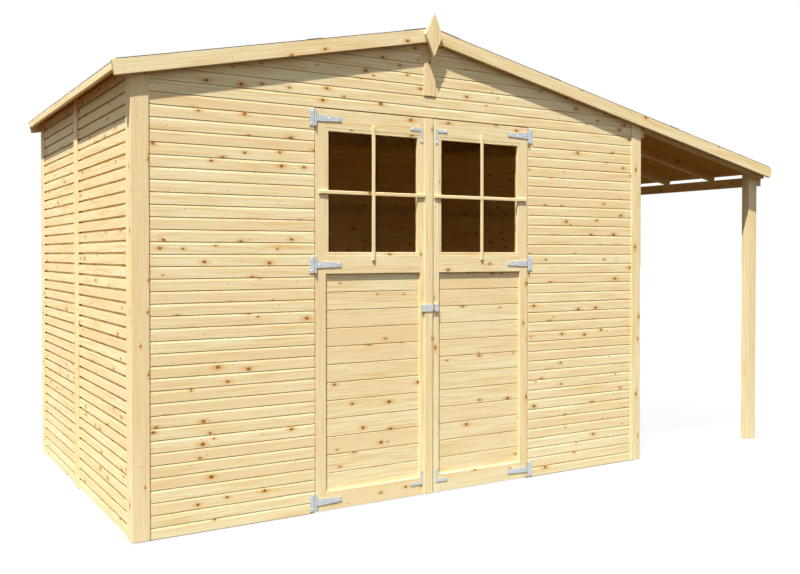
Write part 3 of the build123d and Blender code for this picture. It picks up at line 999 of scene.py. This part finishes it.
def felt_profile(length):
    """Profile (height, way down the slope): a flat sheet with a raised strip at the ridge and at
    every lap, each ending in a short slanted step."""
    laps = np.arange(felt_width, length - lap_width, felt_width)
    steps = np.concatenate(((cap_width,), length - laps[::-1] + lap_width))
    rises = np.concatenate(((0.0,), length - laps[::-1]))
    rise_points = np.stack((rises, rises + lap_slant, steps, steps + lap_slant), axis=1)
    high = felt_thickness + lap_step
    heights = np.tile((felt_thickness, high, high, felt_thickness), (len(steps), 1))
    ways = rise_points.ravel()[1:]
    tops = heights.ravel()[1:]
    ways[0] = 0.0
    top_line = np.stack((tops, ways), axis=1)
    eave = np.array(((felt_thickness, length), (0.0, length), (0.0, 0.0)))
    return np.concatenate((top_line, eave))[None]


for side, sign in (("left", -1.0), ("right", 1.0)):
    low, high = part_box(side + "_roof_felt")
    length = (high.x - low.x - felt_thickness * roof_sin) / roof_cos
    profile = felt_profile(length)
    part = straight(
        profile,
        low.y,
        high.y,
        (ridge_x, 0, ridge_height),
        (0, 1, 0),
        (sign * roof_sin, 0, roof_cos),
        (sign * roof_cos, 0, -roof_sin),
    )
    add_piece(side + "_felt_sheets", *part, felt, "shed", "roof_felt", [side + "_roof_felt"])
print("felt laid")

# %% [markdown]
# The ironwork keeps its CAD shapes and gets the zinc finish. What it lacks are the screws that hold
# it. A screw head is a small dome with a hollow in the middle: one outline turned around an axis,
# worked out for all the screws of a body in one array.

# %% Ironwork, panes and screws
screw_radius = 0.0042
screw_height = 0.0020
screw_sides = 12
screw_outline = np.array(((1.0, 0.0), (1.0, 0.35), (0.72, 0.9), (0.42, 1.0), (0.30, 0.35), (0.0, 0.30)))
rail_height = 0.083
middle_rail_centre = 1.1075
strap_screw_shares = (0.22, 0.55, 0.86)
plate_screw_reach = 0.026
plate_half_width = 0.011
strap_thickness = 0.0025
brace_width = 0.014
brace_end = 0.008

for name in frame["nodes"]:
    if name.endswith(("hinge_plates", "_straps", "_braces")) or name.startswith("latch"):
        frame["nodes"][name].data.materials.clear()
        frame["nodes"][name].data.materials.append(zinc)
    if name.endswith("_glass"):
        frame["nodes"][name].data.materials.clear()
        frame["nodes"][name].data.materials.append(glass)


def screw_heads(name, spots, body):
    """Domes on the face that looks to -Y: point = spot + radius * share * (cos, 0, sin) - height."""
    spots = np.array(spots)
    turn = np.linspace(0.0, math.tau, screw_sides, endpoint=False)
    share, rise = screw_outline[:, 0], screw_outline[:, 1]
    x = screw_radius * share[:, None] * np.cos(turn)
    z = screw_radius * share[:, None] * np.sin(turn)
    y = np.broadcast_to(-screw_height * rise[:, None], x.shape)
    head = np.stack((x, y, z), axis=-1).reshape(-1, 3)
    points = (spots[:, None] + head[None]).reshape(-1, 3)
    rings = len(screw_outline)
    ring, step = np.meshgrid(np.arange(rings - 1), np.arange(screw_sides), indexing="ij")
    after = (step + 1) % screw_sides
    quads = np.stack(
        (
            ring * screw_sides + step,
            ring * screw_sides + after,
            (ring + 1) * screw_sides + after,
            (ring + 1) * screw_sides + step,
        ),
        axis=-1,
    ).reshape(-1, 4)
    first = np.arange(len(spots))[:, None, None] * len(head)
    faces = (first + quads).reshape(-1, 4)
    uvs = points[faces.ravel()][:, (0, 2)]
    return add_piece(name, points, faces.tolist(), uvs, zinc, body, "galvanised_steel")


leaf_low, leaf_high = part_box("left_door_stiles")
rail_centres = (leaf_low.z + rail_height / 2, middle_rail_centre, leaf_high.z - rail_height / 2)
strap_face = leaf_low.y - strap_thickness
for leaf, hinge_sign in (("left_door", -1.0), ("right_door", 1.0)):
    low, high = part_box(leaf + "_straps")
    root, tip = (low.x, high.x) if hinge_sign < 0 else (high.x, low.x)
    spots = [
        (root + (tip - root) * share, strap_face, z) for share in strap_screw_shares for z in rail_centres
    ]
    low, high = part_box(leaf + "_braces")
    corner_x, tip_x = (high.x, low.x) if hinge_sign < 0 else (low.x, high.x)
    for corner_z, upward in ((high.z, -1.0), (low.z, 1.0)):
        mid_x = corner_x + hinge_sign * brace_width / 2
        mid_z = corner_z + upward * brace_width / 2
        spots.append((tip_x - hinge_sign * brace_end, low.y, mid_z))
        spots.append((mid_x, low.y, corner_z + upward * (abs(tip_x - corner_x) - brace_end)))
    screw_heads(leaf + "_screws", spots, leaf)

low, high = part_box("hinge_plates")
plate_spots = [
    (x, strap_face, z + reach)
    for x in (low.x + plate_half_width, high.x - plate_half_width)
    for z in rail_centres
    for reach in (-plate_screw_reach, plate_screw_reach)
]
screw_heads("hinge_plate_screws", plate_spots, "shed")
print("screws on the shed:", len(plate_spots))

# %% [markdown]
# The camera stands where the photographer stood. Its place, turn and lens come from a fit to the
# board lines, and the small shift puts the optical middle where the picture has it.

# %% Camera
image_width = 800.0
sensor_width = 36.0
focal_pixels = 884.06
camera_place = (-2.8905, -4.4495, 1.1536)
camera_turn = 0.5399
camera_tilt = 0.0132
shift_right = 0.0239
shift_up = -0.0263
camera = bpy.data.objects.new("camera", bpy.data.cameras.new("camera"))
bpy.context.scene.collection.objects.link(camera)
camera.location = camera_place
camera.rotation_euler = (math.pi / 2 - camera_tilt, 0.0, -camera_turn)
camera.data.sensor_width = sensor_width
camera.data.lens = focal_pixels / image_width * sensor_width
camera.data.shift_x = shift_right
camera.data.shift_y = shift_up
bpy.context.scene.camera = camera
print("lens", round(camera.data.lens, 2))

# %% [markdown]
# The picture has clear sun from the front left, which throws the roof's shadow on the walls, and
# soft light from the sky. One sun lamp gives the shadow. A sky texture sets the horizon's brightness
# from the sun's height, so the world is a plain blue-white instead, dim at the horizon and brighter
# overhead, which keeps the canopy's underside dark. The camera itself sees only white.

# %% Sun and sky
sun_travel = (0.345, 0.268, -1.0)
sun_colour = (1.0, 0.975, 0.91)
sun_strength = 7.15
sun_angle = math.radians(0.8)
lamp = bpy.data.lights.new("sun", "SUN")
lamp.energy = sun_strength
lamp.angle = sun_angle
lamp.color = sun_colour
sun = bpy.data.objects.new("sun", lamp)
sun.rotation_euler = Vector(sun_travel).to_track_quat("-Z", "Y").to_euler()
bpy.context.scene.collection.objects.link(sun)

level_sky = 0.20
overhead_sky = 1.35
sky_blue = (0.80, 0.88, 1.0, 1.0)
plain_white = (1.0, 1.0, 1.0, 1.0)


def seen_share(tree):
    """1 for rays from the camera, a mirror or a pane, and 0 for the light that falls on things."""
    path = Signal.node(tree, "ShaderNodeLightPath", {}, {})
    return (path["Is Camera Ray"] + path["Is Glossy Ray"] + path["Is Transmission Ray"]).held()


def mixed(tree, share, first, second):
    """The first shader, with a share of the second mixed in."""
    return Signal.node(tree, "ShaderNodeMixShader", {}, {0: share, 1: first, 2: second})["Shader"]


world = bpy.data.worlds.new("sky")
bpy.context.scene.world = world
world.use_nodes = True
tree = world.node_tree
tree.nodes.clear()
sky_way = Signal.node(tree, "ShaderNodeTexCoord", {}, {})["Generated"]
height_share = Signal.node(tree, "ShaderNodeSeparateXYZ", {}, {"Vector": sky_way})["Z"].held()
low_sky, high_sky, white_sky = (
    Signal.node(tree, "ShaderNodeBackground", {}, {"Color": colour, "Strength": strength})["Background"]
    for colour, strength in ((sky_blue, level_sky), (sky_blue, overhead_sky), (plain_white, 1.0))
)
soft_sky = mixed(tree, height_share, low_sky, high_sky)
sky = mixed(tree, seen_share(tree), soft_sky, white_sky)
Signal.node(tree, "ShaderNodeOutputWorld", {}, {"Surface": sky})
print("lamps:", [thing.name for thing in bpy.data.lights])

# %% [markdown]
# The shed stands on a white ground that keeps its shadow. A floor that was white for the light as
# well would brighten everything from below. So the camera sees a pale glowing floor, while the light
# meets a dark one, with only a paler strip around the shed that brightens the feet of the walls.

# %% Floor
floor_half = 60.0
near_reach = 0.9
floor_glow = 0.90
far_brown = (0.036, 0.017, 0.004, 1.0)
near_grey = (0.105, 0.125, 0.14, 1.0)
shadow_grey = (0.12, 0.12, 0.12, 1.0)
ground = bpy.data.materials.new("white_ground")
ground.use_nodes = True
tree = ground.node_tree
tree.nodes.clear()
far_floor, near_floor, pale = (
    Signal.node(tree, "ShaderNodeBsdfDiffuse", {}, {"Color": colour})["BSDF"]
    for colour in (far_brown, near_grey, shadow_grey)
)
spot = Signal.node(tree, "ShaderNodeTexCoord", {}, {})["Object"]
parts = Signal.node(tree, "ShaderNodeSeparateXYZ", {}, {"Vector": spot})
beside = parts["X"].math("ABSOLUTE") - cad_box[1][0]
before = parts["Y"].math("ABSOLUTE") - cad_box[1][1]
near_share = (1.0 - beside.math("MAXIMUM", before).math("MAXIMUM", 0.0) / near_reach).held()
dull = mixed(tree, near_share, far_floor, near_floor)
glow = Signal.node(tree, "ShaderNodeEmission", {}, {"Color": plain_white, "Strength": floor_glow})
bright = Signal.node(tree, "ShaderNodeAddShader", {}, {0: pale, 1: glow["Emission"]})
both = mixed(tree, seen_share(tree), dull, bright["Shader"])
Signal.node(tree, "ShaderNodeOutputMaterial", {}, {"Surface": both})

floor_mesh = bpy.data.meshes.new("floor")
floor_corners = [(-floor_half, -floor_half, 0), (floor_half, -floor_half, 0)]
floor_corners += [(floor_half, floor_half, 0), (-floor_half, floor_half, 0)]
floor_mesh.from_pydata(floor_corners, [], [(0, 1, 2, 3)])
floor_mesh.materials.append(ground)
floor = bpy.data.objects.new("floor", floor_mesh)
bpy.context.scene.collection.objects.link(floor)
bpy.context.scene.view_settings.view_transform = "Standard"
print("floor reaches", floor_half, "m each way")
